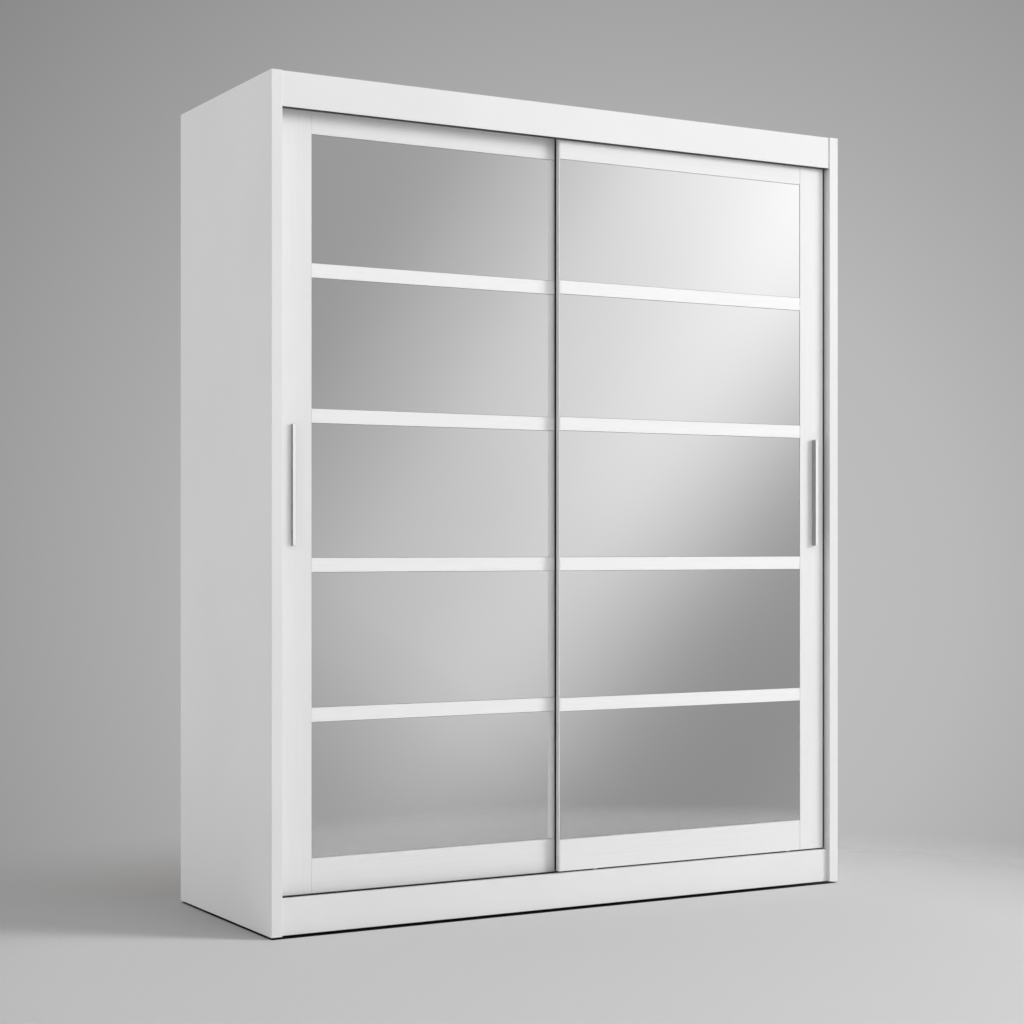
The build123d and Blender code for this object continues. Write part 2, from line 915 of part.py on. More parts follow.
# A roller bracket: two cheeks under a web that is screwed up into the core
def door_brackets(door):
    front_side = door.core_front + fitting_gap
    back_side = door.back - fitting_gap
    with BuildPart() as brackets:
        for x in roller_places(door):
            span = around(x, bracket_width)
            block(span, (front_side, back_side), (web_low, pocket_top))
            block(span, (front_side, front_side + bracket_cheek), (bracket_low, web_low))
            block(span, (back_side - bracket_cheek, back_side), (bracket_low, web_low))
            hole((x, front_side, axle_height), (0, 1, 0), axle_radius + turning_fit, back_side - front_side)
        for x in bracket_screw_places(door):
            hole((x, door.wheel_y, web_low), (0, 0, 1), screw_radius + screw_hole_gap, bracket_plate)
    save(brackets.part, f"{door.name}_roller_brackets")


def door_axles(door):
    with BuildPart() as axles:
        for x in roller_places(door):
            rod((x, door.core_front + fitting_gap, axle_height), (0, 1, 0), axle_radius,
                core_thickness - 2 * fitting_gap)
    save(axles.part, f"{door.name}_roller_axles")


# A wheel with a round groove that follows the rib of the bottom track
def door_wheels(door):
    bore = axle_radius + turning_fit
    groove_radius = bead_radius + bead_gap
    for number, x in enumerate(sorted(roller_places(door)), start=1):
        centre = (x, door.wheel_y, axle_height)
        with BuildPart() as wheel:
            with BuildSketch(Plane(origin=centre, x_dir=(0, 1, 0), z_dir=(1, 0, 0))):
                with Locations((0, (bore + wheel_radius) / 2)):
                    Rectangle(wheel_width, wheel_radius - bore)
                with Locations((0, rolling_radius + groove_radius)):
                    Circle(groove_radius, mode=Mode.SUBTRACT)
            revolve(axis=Axis(centre, (0, 1, 0)))
        save(wheel.part, f"{door.name}_wheel_{number}")


def door_screws(door):
    handle_x = door.at(door.handle_inset)
    with BuildPart() as screws:
        for z in handle_screw_heights():
            seat = door.back - counterbore_depth
            screw((handle_x, seat, z), (0, -1, 0), handle_screw_radius,
                  seat - door.face + handle_screw_bite, handle_screw_head_radius)
        for x in guide_screw_places(door):
            screw((x, door.back, guide_screw_height), (0, -1, 0), screw_radius,
                  guide_plate + guide_screw_bite, screw_head_radius)
        for x in bracket_screw_places(door):
            screw((x, door.wheel_y, web_low), (0, 0, 1), screw_radius, bracket_plate + screw_bite,
                  screw_head_radius)
    save(screws.part, f"{door.name}_screws")


os.makedirs("parts", exist_ok=True)

side_panel("left_side_panel", -1)
side_panel("right_side_panel", 1)
top_panel()
bottom_panel()
middle_partition()
back_panel("back_panel_left", -1)
back_panel("back_panel_right", 1)
cornice()
front_plinth()
rear_plinth()
top_track()
bottom_track()
shelves()
shelf_pins()
hanging_rail()
rail_sockets()
cam_fittings()
wood_dowels()
floor_glides()
wall_brackets()
door_buffers()
case_screws()

for door in doors:
    door_core(door)
    door_stile(door)
    door_edge_profile(door)
    door_rails(door, "top_rail", [pane_high], end_rail_height)
    door_rails(door, "bottom_rail", [door.trim_foot], end_rail_height + door.trim_drop)
    door_rails(door, "mid_rails", mid_rail_lows(), mid_rail_height)
    door_mirrors(door)
    door_handle(door)
    door_seals(door)
    door_guides(door)
    door_brackets(door)
    door_axles(door)
    door_wheels(door)
    door_screws(door)

print("door travel", door_travel)
for door in doors:
    print(door.name, "wheel centres", sorted(roller_places(door)), door.wheel_y, axle_height)
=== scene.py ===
import json
import math

import bpy
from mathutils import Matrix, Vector

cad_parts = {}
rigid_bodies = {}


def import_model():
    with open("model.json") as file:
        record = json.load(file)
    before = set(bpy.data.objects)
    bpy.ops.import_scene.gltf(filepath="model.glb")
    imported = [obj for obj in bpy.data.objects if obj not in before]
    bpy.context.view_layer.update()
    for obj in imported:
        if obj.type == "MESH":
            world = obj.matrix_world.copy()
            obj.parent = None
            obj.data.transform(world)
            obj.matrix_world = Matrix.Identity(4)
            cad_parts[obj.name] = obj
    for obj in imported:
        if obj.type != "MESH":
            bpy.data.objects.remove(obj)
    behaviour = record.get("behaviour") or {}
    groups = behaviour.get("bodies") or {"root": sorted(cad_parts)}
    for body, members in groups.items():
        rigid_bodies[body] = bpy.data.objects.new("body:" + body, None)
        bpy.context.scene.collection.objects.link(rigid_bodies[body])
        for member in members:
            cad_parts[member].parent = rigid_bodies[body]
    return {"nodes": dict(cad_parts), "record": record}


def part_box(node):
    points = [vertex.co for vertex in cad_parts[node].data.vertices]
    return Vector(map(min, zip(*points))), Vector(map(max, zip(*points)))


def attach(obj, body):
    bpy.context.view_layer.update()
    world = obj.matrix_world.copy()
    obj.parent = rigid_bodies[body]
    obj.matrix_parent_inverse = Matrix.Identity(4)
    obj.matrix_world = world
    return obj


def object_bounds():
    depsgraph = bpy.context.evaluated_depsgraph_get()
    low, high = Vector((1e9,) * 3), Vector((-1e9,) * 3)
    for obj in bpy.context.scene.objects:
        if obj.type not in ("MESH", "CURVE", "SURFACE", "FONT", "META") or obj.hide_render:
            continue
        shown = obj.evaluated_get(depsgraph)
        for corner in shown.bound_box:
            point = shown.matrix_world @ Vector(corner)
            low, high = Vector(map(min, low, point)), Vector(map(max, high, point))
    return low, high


# Two-door sliding wardrobe: white boards, mirrored doors on two tracks, slim bar handles
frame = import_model()
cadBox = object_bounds()
scene = bpy.context.scene
scene.view_settings.view_transform = "Standard"
print("frame loaded:", len(frame["nodes"]), "nodes")


def linear(hexColour):  # sRGB hex to a linear colour
    channels = [int(hexColour[i:i + 2], 16) / 255 for i in (1, 3, 5)]
    curve = [c / 12.92 if c <= 0.04045 else ((c + 0.055) / 1.055) ** 2.4 for c in channels]
    return (*curve, 1.0)


def perMetre(millimetres):  # texture scale for a pattern whose features have this size
    return 1000.0 / millimetres


def addNode(tree, kind, settings=None, links=None):
    node = tree.nodes.new(kind)
    for name, value in (settings or {}).items():
        if name == "stops":  # a ramp's stops as (place, colour or grey)
            stops = node.color_ramp.elements
            while len(stops) < len(value):
                stops.new(0.5)
            for stop, (place, shade) in zip(stops, value):
                stop.position = place
                stop.color = linear(shade) if isinstance(shade, str) else (shade, shade, shade, 1.0)
        elif name == "blend":
            node.color_ramp.interpolation = value
        elif isinstance(name, int) or name in node.inputs:
            node.inputs[name].default_value = value
        else:
            setattr(node, name, value)
    for name, source in (links or {}).items():
        tree.links.new(source, node.inputs[name])
    return node


def startMaterial(name):
    material = bpy.data.materials.new(name)
    material.use_nodes = True
    tree = material.node_tree
    tree.nodes.clear()
    place = addNode(tree, "ShaderNodeTexCoord").outputs["Object"]
    return material, tree, place


def endMaterial(material, settings, links):
    tree = material.node_tree
    shader = addNode(tree, "ShaderNodeBsdfPrincipled", settings, links)
    addNode(tree, "ShaderNodeOutputMaterial", links={"Surface": shader.outputs["BSDF"]})
    return material


# Level camera one metre up, left of the wardrobe, with a long lens
photoView = {
    "place": (-2.9385, -5.1059, 0.9895),
    "tilt": 90,
    "turn": -29.604,
    "lens": 72.35,
    "shiftX": 0.0047,
    "shiftY": 0.0337,
}

bpy.ops.object.select_all(action="DESELECT")
bpy.ops.object.camera_add(
    location=photoView["place"],
    rotation=(math.radians(photoView["tilt"]), 0, math.radians(photoView["turn"])))
camera = bpy.context.object
camera.name = "photoCamera"
camera.data.lens = photoView["lens"]
camera.data.shift_x = photoView["shiftX"]
camera.data.shift_y = photoView["shiftY"]
scene.camera = camera
print("camera set")


# Studio: a grey backdrop for the camera, soft diagonal streaks for the mirrors, an even fill for all else.
# Streaks run between two ways out of the doors, given as (azimuth, elevation).
studio = {
    "glowWay": (0.5446, 0.8385, -0.0175),
    "glowShades": [
        (0.0, "#c0c0c0"), (0.08, "#bebebe"), (0.16, "#b9b9b9"), (0.24, "#aaaaaa"),
        (0.32, "#9b9b9b"), (0.42, "#868686"), (0.6, "#8c8c8c"), (1.0, "#a4a4a4")],
    "fillColour": "#ffffff",
    "fillSide": 0.46,
    "fillTop": 0.35,
    "bounceWay": (-0.707, 0.707, 0.0),
    "bounceLevel": 0.44,
    "streakLow": (24.1, -6.6),
    "streakHigh": (36.7, 11.0),
    "streakWidth": 0.5,  # reach to each side
    "streakShape": [
        (0.0, 0.45), (0.26, 0.32), (0.344, 0.166), (0.396, 0.36), (0.448, 0.79), (0.5, 0.74),
        (0.552, 0.56), (0.604, 0.31), (0.656, 0.2), (0.74, 0.26), (1.0, 0.6)],
    "streakLength": 0.25,  # reach to each end
    "streakFade": [
        (0.05, 0.29), (0.15, 0.33), (0.23, 0.43), (0.29, 0.51), (0.5, 0.613), (0.744, 0.775), (0.95, 0.95)],
    "streakBase": 0.147,
    "streakLevel": 1.4,
    "frontLow": (-6, -14),
    "frontHigh": (6, 6),
    "frontWidth": 0.17,
    "frontShape": [(0.0, 0.0), (0.2, 0.02), (0.42, 0.2), (0.58, 0.32), (0.76, 0.09), (1.0, 0.0)],
}


def frontWay(azimuth, elevation):  # a way out of the doors, turned towards the right and up
    a, e = math.radians(azimuth), math.radians(elevation)
    return Vector((math.sin(a) * math.cos(e), -math.cos(a) * math.cos(e), math.sin(e)))


def greyBand(tree, way, axis, reach, stops):  # greys laid out along an axis, within a reach both ways
    offset = addNode(tree, "ShaderNodeVectorMath", {"operation": "DOT_PRODUCT", 1: axis}, {0: way})
    share = addNode(tree, "ShaderNodeMapRange", {"From Min": -reach, "From Max": reach},
                    {"Value": offset.outputs["Value"]})
    band = addNode(tree, "ShaderNodeValToRGB", {"blend": "CARDINAL", "stops": stops},
                   {"Fac": share.outputs["Result"]})
    return band.outputs["Color"]


def mirrorStreaks(tree, way):
    # One streak is the same on both sides of the doors, so that the mirrors have it from either side
    parts = addNode(tree, "ShaderNodeSeparateXYZ", links={"Vector": way})
    side = addNode(tree, "ShaderNodeMath", {"operation": "ABSOLUTE"}, {0: parts.outputs["X"]})
    evenWay = addNode(tree, "ShaderNodeCombineXYZ", links={
        "X": side.outputs["Value"], "Y": parts.outputs["Y"], "Z": parts.outputs["Z"]}).outputs["Vector"]
    low, high = frontWay(*studio["streakLow"]), frontWay(*studio["streakHigh"])
    across, along = low.cross(high).normalized(), (high - low).normalized()
    shape = greyBand(tree, evenWay, across, studio["streakWidth"], studio["streakShape"])
    fade = greyBand(tree, evenWay, along, studio["streakLength"], studio["streakFade"])
    base = studio["streakBase"]
    streak = addNode(tree, "ShaderNodeMix", {"data_type": "RGBA", 6: (base, base, base, 1.0)},
                     {0: shape, 7: fade})
    # The second is fainter, and right in front of the doors
    low, high = frontWay(*studio["frontLow"]), frontWay(*studio["frontHigh"])
    across = low.cross(high).normalized()
    front = greyBand(tree, way, across, studio["frontWidth"], studio["frontShape"])
    both = addNode(tree, "ShaderNodeMix", {"data_type": "RGBA", "blend_type": "ADD", 0: 1.0},
                   {6: streak.outputs[2], 7: front})
    return addNode(tree, "ShaderNodeBackground", {"Strength": studio["streakLevel"]},
                   {"Color": both.outputs[2]})


def evenFill(tree, way):
    parts = addNode(tree, "ShaderNodeSeparateXYZ", links={"Vector": way})
    level = addNode(tree, "ShaderNodeMapRange", {"To Min": studio["fillSide"], "To Max": studio["fillTop"]},
                    {"Value": parts.outputs["Z"]})
    # White boards behind the left corner throw light on the left side and the back, not on the doors
    share = addNode(tree, "ShaderNodeVectorMath", {"operation": "DOT_PRODUCT", 1: studio["bounceWay"]},
                    {0: way})
    bounce = addNode(tree, "ShaderNodeMapRange", {"To Max": studio["bounceLevel"]},
                     {"Value": share.outputs["Value"]})
    whole = addNode(tree, "ShaderNodeMath", {"operation": "ADD"},
                    {0: level.outputs["Result"], 1: bounce.outputs["Result"]})
    return addNode(tree, "ShaderNodeBackground", {"Color": linear(studio["fillColour"])},
                   {"Strength": whole.outputs["Value"]})


def buildWorld():
    world = bpy.data.worlds.new("studioWorld")
    scene.world = world
    world.use_nodes = True
    tree = world.node_tree
    tree.nodes.clear()
    way = addNode(tree, "ShaderNodeTexCoord").outputs["Generated"]
    # A broad glow behind the wardrobe that falls off to grey
    offset = addNode(tree, "ShaderNodeVectorMath", {"operation": "DISTANCE", 1: studio["glowWay"]}, {0: way})
    wall = addNode(tree, "ShaderNodeValToRGB", {"stops": studio["glowShades"]},
                   {"Fac": offset.outputs["Value"]})
    backdrop = addNode(tree, "ShaderNodeBackground", links={"Color": wall.outputs["Color"]})
    fill, streaks = evenFill(tree, way), mirrorStreaks(tree, way)
    rays = addNode(tree, "ShaderNodeLightPath")
    sharp = addNode(tree, "ShaderNodeMath", {"operation": "MAXIMUM"},
                    {0: rays.outputs["Is Glossy Ray"], 1: rays.outputs["Is Transmission Ray"]})
    unseen = addNode(tree, "ShaderNodeMixShader", links={
        0: sharp.outputs["Value"], 1: fill.outputs["Background"], 2: streaks.outputs["Background"]})
    seen = addNode(tree, "ShaderNodeMixShader", links={
        0: rays.outputs["Is Camera Ray"], 1: unseen.outputs["Shader"], 2: backdrop.outputs["Background"]})
    addNode(tree, "ShaderNodeOutputWorld", links={"Surface": seen.outputs["Shader"]})


floorLook = {
    "radius": 4.0,
    "sides": 96,
    "colour": "#bebebe",
    "roughness": 0.75,
    "specular": 0.1,
    # near black painted shade under the case, and the width of its soft edge
    "shade": "#101010",
    "paintedShadeEdge": 0.002,
    "camera": {"middle": (-0.35, -1.0, 0.0), "solidTo": 1.2, "goneAt": 2.7, "clear": 0.0},
    "mirrors": {"middle": (0.6, -0.6, 0.0), "solidTo": 1.2, "goneAt": 1.8, "clear": 0.75},
}


def finishPaper():
    # Matt paper sweep: a pale grey without shine, with painted shade under the case
    material, tree, place = startMaterial("paperSweepMattPaintedShade")
    # Painted shade: the ground under the case is painted near black, which shows as the dark line along its
    # foot
    inset = addNode(tree, "ShaderNodeVectorMath", {"operation": "ABSOLUTE"}, {0: place})
    edges = addNode(tree, "ShaderNodeVectorMath", {"operation": "SUBTRACT", 0: (*cadBox[1][:2], 0.0)},
                    {1: inset.outputs["Vector"]})
    nearest = addNode(tree, "ShaderNodeSeparateXYZ", links={"Vector": edges.outputs["Vector"]})
    depth = addNode(tree, "ShaderNodeMath", {"operation": "MINIMUM"},
                    {0: nearest.outputs["X"], 1: nearest.outputs["Y"]})
    under = addNode(tree, "ShaderNodeMapRange", {"From Max": floorLook["paintedShadeEdge"]},
                    {"Value": depth.outputs["Value"]})
    ground = addNode(tree, "ShaderNodeMix", {
        "data_type": "RGBA", 6: linear(floorLook["colour"]), 7: linear(floorLook["shade"])},
        {0: under.outputs["Result"]})
    paper = addNode(tree, "ShaderNodeBsdfPrincipled", {
        "Roughness": floorLook["roughness"], "Specular IOR Level": floorLook["specular"]},
        {"Base Color": ground.outputs[2]})
    # The floor fades out round a patch, and the mirrors see a smaller, fainter patch than the camera does
    fades = []
    for patch in (floorLook["camera"], floorLook["mirrors"]):
        distance = addNode(tree, "ShaderNodeVectorMath", {"operation": "DISTANCE", 1: patch["middle"]},
                           {0: place})
        fade = addNode(tree, "ShaderNodeMapRange", {
            "interpolation_type": "SMOOTHSTEP", "From Min": patch["solidTo"], "From Max": patch["goneAt"],
            "To Min": patch["clear"]}, {"Value": distance.outputs["Value"]})
        fades.append(fade.outputs["Result"])
    rays = addNode(tree, "ShaderNodeLightPath")
    gone = addNode(tree, "ShaderNodeMix", links={0: rays.outputs["Is Glossy Ray"], 2: fades[0], 3: fades[1]})
    clear = addNode(tree, "ShaderNodeBsdfTransparent")
    mixed = addNode(tree, "ShaderNodeMixShader", links={
        0: gone.outputs[0], 1: paper.outputs["BSDF"], 2: clear.outputs["BSDF"]})
    addNode(tree, "ShaderNodeOutputMaterial", links={"Surface": mixed.outputs["Shader"]})
    return material


def buildFloor():
    bpy.ops.mesh.primitive_circle_add(
        vertices=floorLook["sides"], radius=floorLook["radius"], fill_type="NGON")
    floor = bpy.context.object
    floor.name = "studioFloor"
    floor.data.materials.append(finishPaper())


# One broad lamp to the right for the soft shadows, one high in front that lights the cornice more than the
# plinth, and one kept off the wardrobe that lights the floor round its shadow
lampAim = Vector((0, 0, 1.0))
lamps = {
    "keyLamp": {"azimuth": 48, "elevation": 15, "distance": 10.0, "size": 4.8, "power": 545},
    "headLamp": {"azimuth": 5, "elevation": 35, "distance": 4.5, "size": 2.0, "power": 30},
    "floorLamp": {
        "azimuth": 50, "elevation": 22, "distance": 20.0, "size": 4.6, "power": 1650, "only": "studioFloor"},
}


def buildLamp(name, look):
    spot = lampAim + frontWay(look["azimuth"], look["elevation"]) * look["distance"]
    bpy.ops.object.light_add(type="AREA", location=spot)
    lamp = bpy.context.object
    lamp.name = name
    lamp.rotation_euler = (lampAim - spot).to_track_quat("-Z", "Y").to_euler()
    lamp.data.shape = "DISK"
    lamp.data.size = look["size"]
    lamp.data.energy = look["power"]
    lamp.visible_glossy = False  # no disc in the mirrors
    if "only" in look:
        lit = bpy.data.collections.new(name + "Lit")
        lit.objects.link(bpy.data.objects[look["only"]])
        lamp.light_linking.receiver_collection = lit


buildWorld()
buildFloor()
for lampName, lampLook in lamps.items():
    buildLamp(lampName, lampLook)
print("studio set")


# Finishes: patterns are sized in millimetres, the depths of reliefs and the widths of edges in metres
def followPattern(tree, look, pattern, tonePattern=None):  # tone, shine and relief of a patterned surface
    tone = addNode(tree, "ShaderNodeValToRGB", {"stops": look["tones"]},
                   {"Fac": pattern if tonePattern is None else tonePattern})
    shine = addNode(tree, "ShaderNodeMapRange", {"To Min": look["rough"][0], "To Max": look["rough"][1]},
                    {"Value": pattern})
    relief = addNode(tree, "ShaderNodeBump", {"Strength": look["relief"], "Distance": look["depth"]},
                     {"Height": pattern})
    return {"Base Color": tone.outputs["Color"], "Roughness": shine.outputs["Result"],
            "Normal": relief.outputs["Normal"]}


def drawnLines(tree, place, look, run):  # noise drawn out along one axis
    stretch = [perMetre(look["run"] if axis == run else look["line"]) for axis in "XYZ"]
    drawn = addNode(tree, "ShaderNodeMapping", {"Scale": stretch}, {"Vector": place})
    lines = addNode(tree, "ShaderNodeTexNoise", {"Scale": 1.0, "Detail": look["detail"]},
                    {"Vector": drawn.outputs["Vector"]})
    return lines.outputs["Fac"]


def turnedBack(tree):  # how far a face is turned to the back: -1 at the front, 1 at the back
    normal = addNode(tree, "ShaderNodeNewGeometry").outputs["True Normal"]
    return addNode(tree, "ShaderNodeSeparateXYZ", links={"Vector": normal}).outputs["Y"]


pearlBoard = {
    "tones": [(0.35, "#ebebeb"), (0.65, "#eeeeee")],
    "cloud": 420,
    "cloudDetail": 2.0,
    "pearl": 4.0,
    "pearlDetail": 3.0,
    "rough": (0.36, 0.46),
    "relief": 0.06,
    "depth": 0.0003,
}


def finishPearlBoard():
    # Melamine-faced chipboard pressed on a pearl plate: even white, fine dimples that break the shine.
    # Real pearl is about 1 mm, drawn at 4 mm so that it shows.
    material, tree, place = startMaterial("melamineBoardPearlPressed")
    cloud = addNode(tree, "ShaderNodeTexNoise", {
        "Scale": perMetre(pearlBoard["cloud"]), "Detail": pearlBoard["cloudDetail"]}, {"Vector": place})
    pearl = addNode(tree, "ShaderNodeTexNoise", {
        "Scale": perMetre(pearlBoard["pearl"]), "Detail": pearlBoard["pearlDetail"]}, {"Vector": place})
    links = followPattern(tree, pearlBoard, pearl.outputs["Fac"], cloud.outputs["Fac"])
    return endMaterial(material, {}, links)


wrappedTrim = {
    "white": [(0.3, "#ececec"), (0.7, "#f0f0f0")],
    # a whiter copy of the foil for the middle rails and the edge profile; on the edge profile it is a painted
    # highlight
    "whiter": [(0.3, "#f5f5f5"), (0.7, "#f9f9f9")],
    "line": 2.5,
    "run": 320,
    "detail": 2.0,
    "rough": (0.3, 0.4),
    "relief": 0.03,
    "depth": 0.0003,
}


def finishWrappedTrim(bar, run, foil):
    # Fibreboard bars wrapped in white foil: smooth satin, faint lines drawn along the bar by the rollers.
    # Real lines are under 1 mm apart, drawn at 2.5 mm so that they show.
    material, tree, place = startMaterial("foilWrapped" + bar)
    lines = drawnLines(tree, place, wrappedTrim, run)
    links = followPattern(tree, {**wrappedTrim, "tones": wrappedTrim[foil]}, lines)
    return endMaterial(material, {}, links)


hardboard = {
    "white": "#e6e6e4",
    "tones": [(0.3, "#a18262"), (0.7, "#bc9d78")],
    "rearFrom": 0.5,  # faces turned back more than this are raw
    "fibre": 9.0,
    "fibreDetail": 6.0,
    "fibreGrit": 0.7,
    "mesh": 14.0,
    "meshSway": 0.3,
    # how much the mesh dips are darkened, as painted shade
    "meshShade": 0.18,
    "rough": (0.5, 0.85),
    "relief": 0.15,
    "depth": 0.0006,
}


def finishHardboard():
    # Hardboard: lacquered white towards the inside, raw brown felted fibre with a wire-mesh print behind.
    # The wires are about 1.5 mm apart, drawn at 14 mm so that they show, with the fibre at 9 mm to match.
    material, tree, place = startMaterial("hardboardPressedOnWire")
    rear = addNode(tree, "ShaderNodeMath", {"operation": "GREATER_THAN", 1: hardboard["rearFrom"]},
                   {0: turnedBack(tree)})
    fibre = addNode(tree, "ShaderNodeTexNoise", {
        "Scale": perMetre(hardboard["fibre"]), "Detail": hardboard["fibreDetail"],
        "Roughness": hardboard["fibreGrit"]}, {"Vector": place})
    raw = addNode(tree, "ShaderNodeValToRGB", {"stops": hardboard["tones"]}, {"Fac": fibre.outputs["Fac"]})
    wires = []
    wireScale = perMetre(hardboard["mesh"]) * math.tau / 20  # at scale 1 the waves turn 20 radians in a metre
    for axis in ("X", "Z"):
        wires.append(addNode(tree, "ShaderNodeTexWave", {
            "bands_direction": axis, "wave_profile": "SIN", "Scale": wireScale,
            "Distortion": hardboard["meshSway"]}, {"Vector": place}))
    woven = addNode(tree, "ShaderNodeMath", {"operation": "MULTIPLY"},
                    {0: wires[0].outputs["Fac"], 1: wires[1].outputs["Fac"]})
    # Painted shade: the tone is darkened in the dips of the wire-mesh print, beside its relief below
    meshShaded = addNode(tree, "ShaderNodeMix", {
        "data_type": "RGBA", "blend_type": "MULTIPLY", 0: hardboard["meshShade"]},
        {6: raw.outputs["Color"], 7: woven.outputs["Value"]})
    tone = addNode(tree, "ShaderNodeMix", {"data_type": "RGBA", 6: linear(hardboard["white"])},
                   {0: rear.outputs["Value"], 7: meshShaded.outputs[2]})
    shine = addNode(tree, "ShaderNodeMapRange", {
        "To Min": hardboard["rough"][0], "To Max": hardboard["rough"][1]}, {"Value": rear.outputs["Value"]})
    printed = addNode(tree, "ShaderNodeMath", {"operation": "MULTIPLY"},
                      {0: woven.outputs["Value"], 1: rear.outputs["Value"]})
    relief = addNode(tree, "ShaderNodeBump", {
        "Strength": hardboard["relief"], "Distance": hardboard["depth"]},
        {"Height": printed.outputs["Value"]})
    return endMaterial(material, {}, {
        "Base Color": tone.outputs[2], "Roughness": shine.outputs["Result"],
        "Normal": relief.outputs["Normal"]})


mirrorGlass = {
    "silver": "#f4f4f4",
    "edge": "#9fb0a8",
    "frontTo": -0.9,  # faces turned back less than this are silvered
    "roughness": 0.035,
    "wave": 260,
    "waveDetail": 0.0,
    "relief": 0.02,
    "depth": 0.0005,
    "fadeFrom": 0.021,
    "fadeTo": 0.014,
}


def finishMirror(name, lapEdge=None):
    # Float glass silvered on its back: clear bright reflection, a trace of waviness, grey-green ground edges.
    # On the left door the silver fades into white beside the lap, a painted stand-in for the mirror's bright
    # reflection there, so that the door gap shows once.
    material, tree, place = startMaterial(name)
    face = addNode(tree, "ShaderNodeMath", {"operation": "LESS_THAN", 1: mirrorGlass["frontTo"]},
                   {0: turnedBack(tree)})
    tone = addNode(tree, "ShaderNodeMix", {
        "data_type": "RGBA", 6: linear(mirrorGlass["edge"]), 7: linear(mirrorGlass["silver"])},
        {0: face.outputs["Value"]})
    wave = addNode(tree, "ShaderNodeTexNoise", {
        "Scale": perMetre(mirrorGlass["wave"]), "Detail": mirrorGlass["waveDetail"]}, {"Vector": place})
    relief = addNode(tree, "ShaderNodeBump", {
        "Strength": mirrorGlass["relief"], "Distance": mirrorGlass["depth"]}, {"Height": wave.outputs["Fac"]})
    silvered = face.outputs["Value"]
    # Painted reflection: beside the lap the silver gives way to white, lit like paint, in place of the
    # mirror's reflection
    if lapEdge is not None:
        across = addNode(tree, "ShaderNodeSeparateXYZ", links={"Vector": place})
        painted = addNode(tree, "ShaderNodeMapRange", {
            "From Min": lapEdge - mirrorGlass["fadeFrom"], "From Max": lapEdge - mirrorGlass["fadeTo"]},
            {"Value": across.outputs["X"]})
        silvered = addNode(tree, "ShaderNodeMath", {"operation": "SUBTRACT", "use_clamp": True},
                           {0: silvered, 1: painted.outputs["Result"]}).outputs["Value"]
    return endMaterial(material, {"Roughness": mirrorGlass["roughness"]}, {
        "Base Color": tone.outputs[2], "Metallic": silvered, "Normal": relief.outputs["Normal"]})


satinAluminium = {
    "tones": [(0.3, "#f4f4f4"), (0.7, "#fcfcfc")],
    # grey of the sides, darker than the face partly as painted shade
    "side": "#b6b6b9",
    "shadedSideFrom": -0.75,  # faces turned back more than this count as sides
    "line": 1.5,
    "run": 160,
    "detail": 3.0,
    "rough": (0.28, 0.4),
    "relief": 0.05,
    "depth": 0.0002,
}


def finishSatinAluminium():
    # Extruded aluminium bar, brushed lengthways: its face is lacquered nearly white, its sides anodised grey.
    # The white face and grey sides are partly painted light and shade.
    # Brush lines are about 0.1 mm apart, drawn at 1.5 mm so that they show.
    material, tree, place = startMaterial("aluminiumBrushedAnodisedPaintedShade")
    side = addNode(tree, "ShaderNodeMath", {"operation": "GREATER_THAN", 1: satinAluminium["shadedSideFrom"]},
                   {0: turnedBack(tree)})
    links = followPattern(tree, satinAluminium, drawnLines(tree, place, satinAluminium, "Z"))
    tone = addNode(tree, "ShaderNodeMix", {"data_type": "RGBA", 7: linear(satinAluminium["side"])},
                   {0: side.outputs["Value"], 6: links["Base Color"]})
    links["Base Color"] = tone.outputs[2]
    links["Metallic"] = side.outputs["Value"]
    return endMaterial(material, {}, links)


beech = {
    "tones": [(0.35, "#bf9667"), (0.6, "#d9b68a")],
    "line": 1.2,
    "run": 30,
    "detail": 4.0,
    "roughness": 0.6,
}


def finishBeech():
    # Turned beech: pale brown with short darker flecks along the grain
    material, tree, place = startMaterial("beechTurned")
    tone = addNode(tree, "ShaderNodeValToRGB", {"stops": beech["tones"]},
                   {"Fac": drawnLines(tree, place, beech, "Y")})
    return endMaterial(material, {"Roughness": beech["roughness"]}, {"Base Color": tone.outputs["Color"]})


pile = {
    "tones": [(0.0, "#2c2c2c"), (0.6, "#0f0f0f")],
    "tuft": 1.6,
    "tape": "#dcdcda",
    "tapeShow": 0.0012,
    "roughness": 0.95,
    "sheen": 0.2,
    "relief": 0.6,
    "depth": 0.0006,
}


def finishPile(name, tapeEdge=None):
    # Woven polypropylene pile: near-black upright tufts that drink the light, drawn at 1.6 mm to show. Their
    # near black also stands in for the shade in the gaps where the seals sit.
    # On the lap strip the white tape that carries the tufts shows along the edge of the right door.
    material, tree, place = startMaterial(name)
    tufts = addNode(tree, "ShaderNodeTexVoronoi", {"Scale": perMetre(pile["tuft"])}, {"Vector": place})
    tone = addNode(tree, "ShaderNodeValToRGB", {"stops": pile["tones"]}, {"Fac": tufts.outputs["Distance"]})
    relief = addNode(tree, "ShaderNodeBump", {"Strength": pile["relief"], "Distance": pile["depth"]},
                     {"Height": tufts.outputs["Distance"]})
    shade = tone.outputs["Color"]
    if tapeEdge is not None:
        half = pile["tapeShow"] / 2
        across = addNode(tree, "ShaderNodeSeparateXYZ", links={"Vector": place})
        bare = addNode(tree, "ShaderNodeMath", {"operation": "COMPARE", 1: tapeEdge + half, 2: half},
                       {0: across.outputs["X"]})
        shade = addNode(tree, "ShaderNodeMix", {"data_type": "RGBA", 7: linear(pile["tape"])},
                        {0: bare.outputs["Value"], 6: shade}).outputs[2]
    return endMaterial(material, {"Roughness": pile["roughness"], "Sheen Weight": pile["sheen"]}, {
        "Base Color": shade, "Normal": relief.outputs["Normal"]})


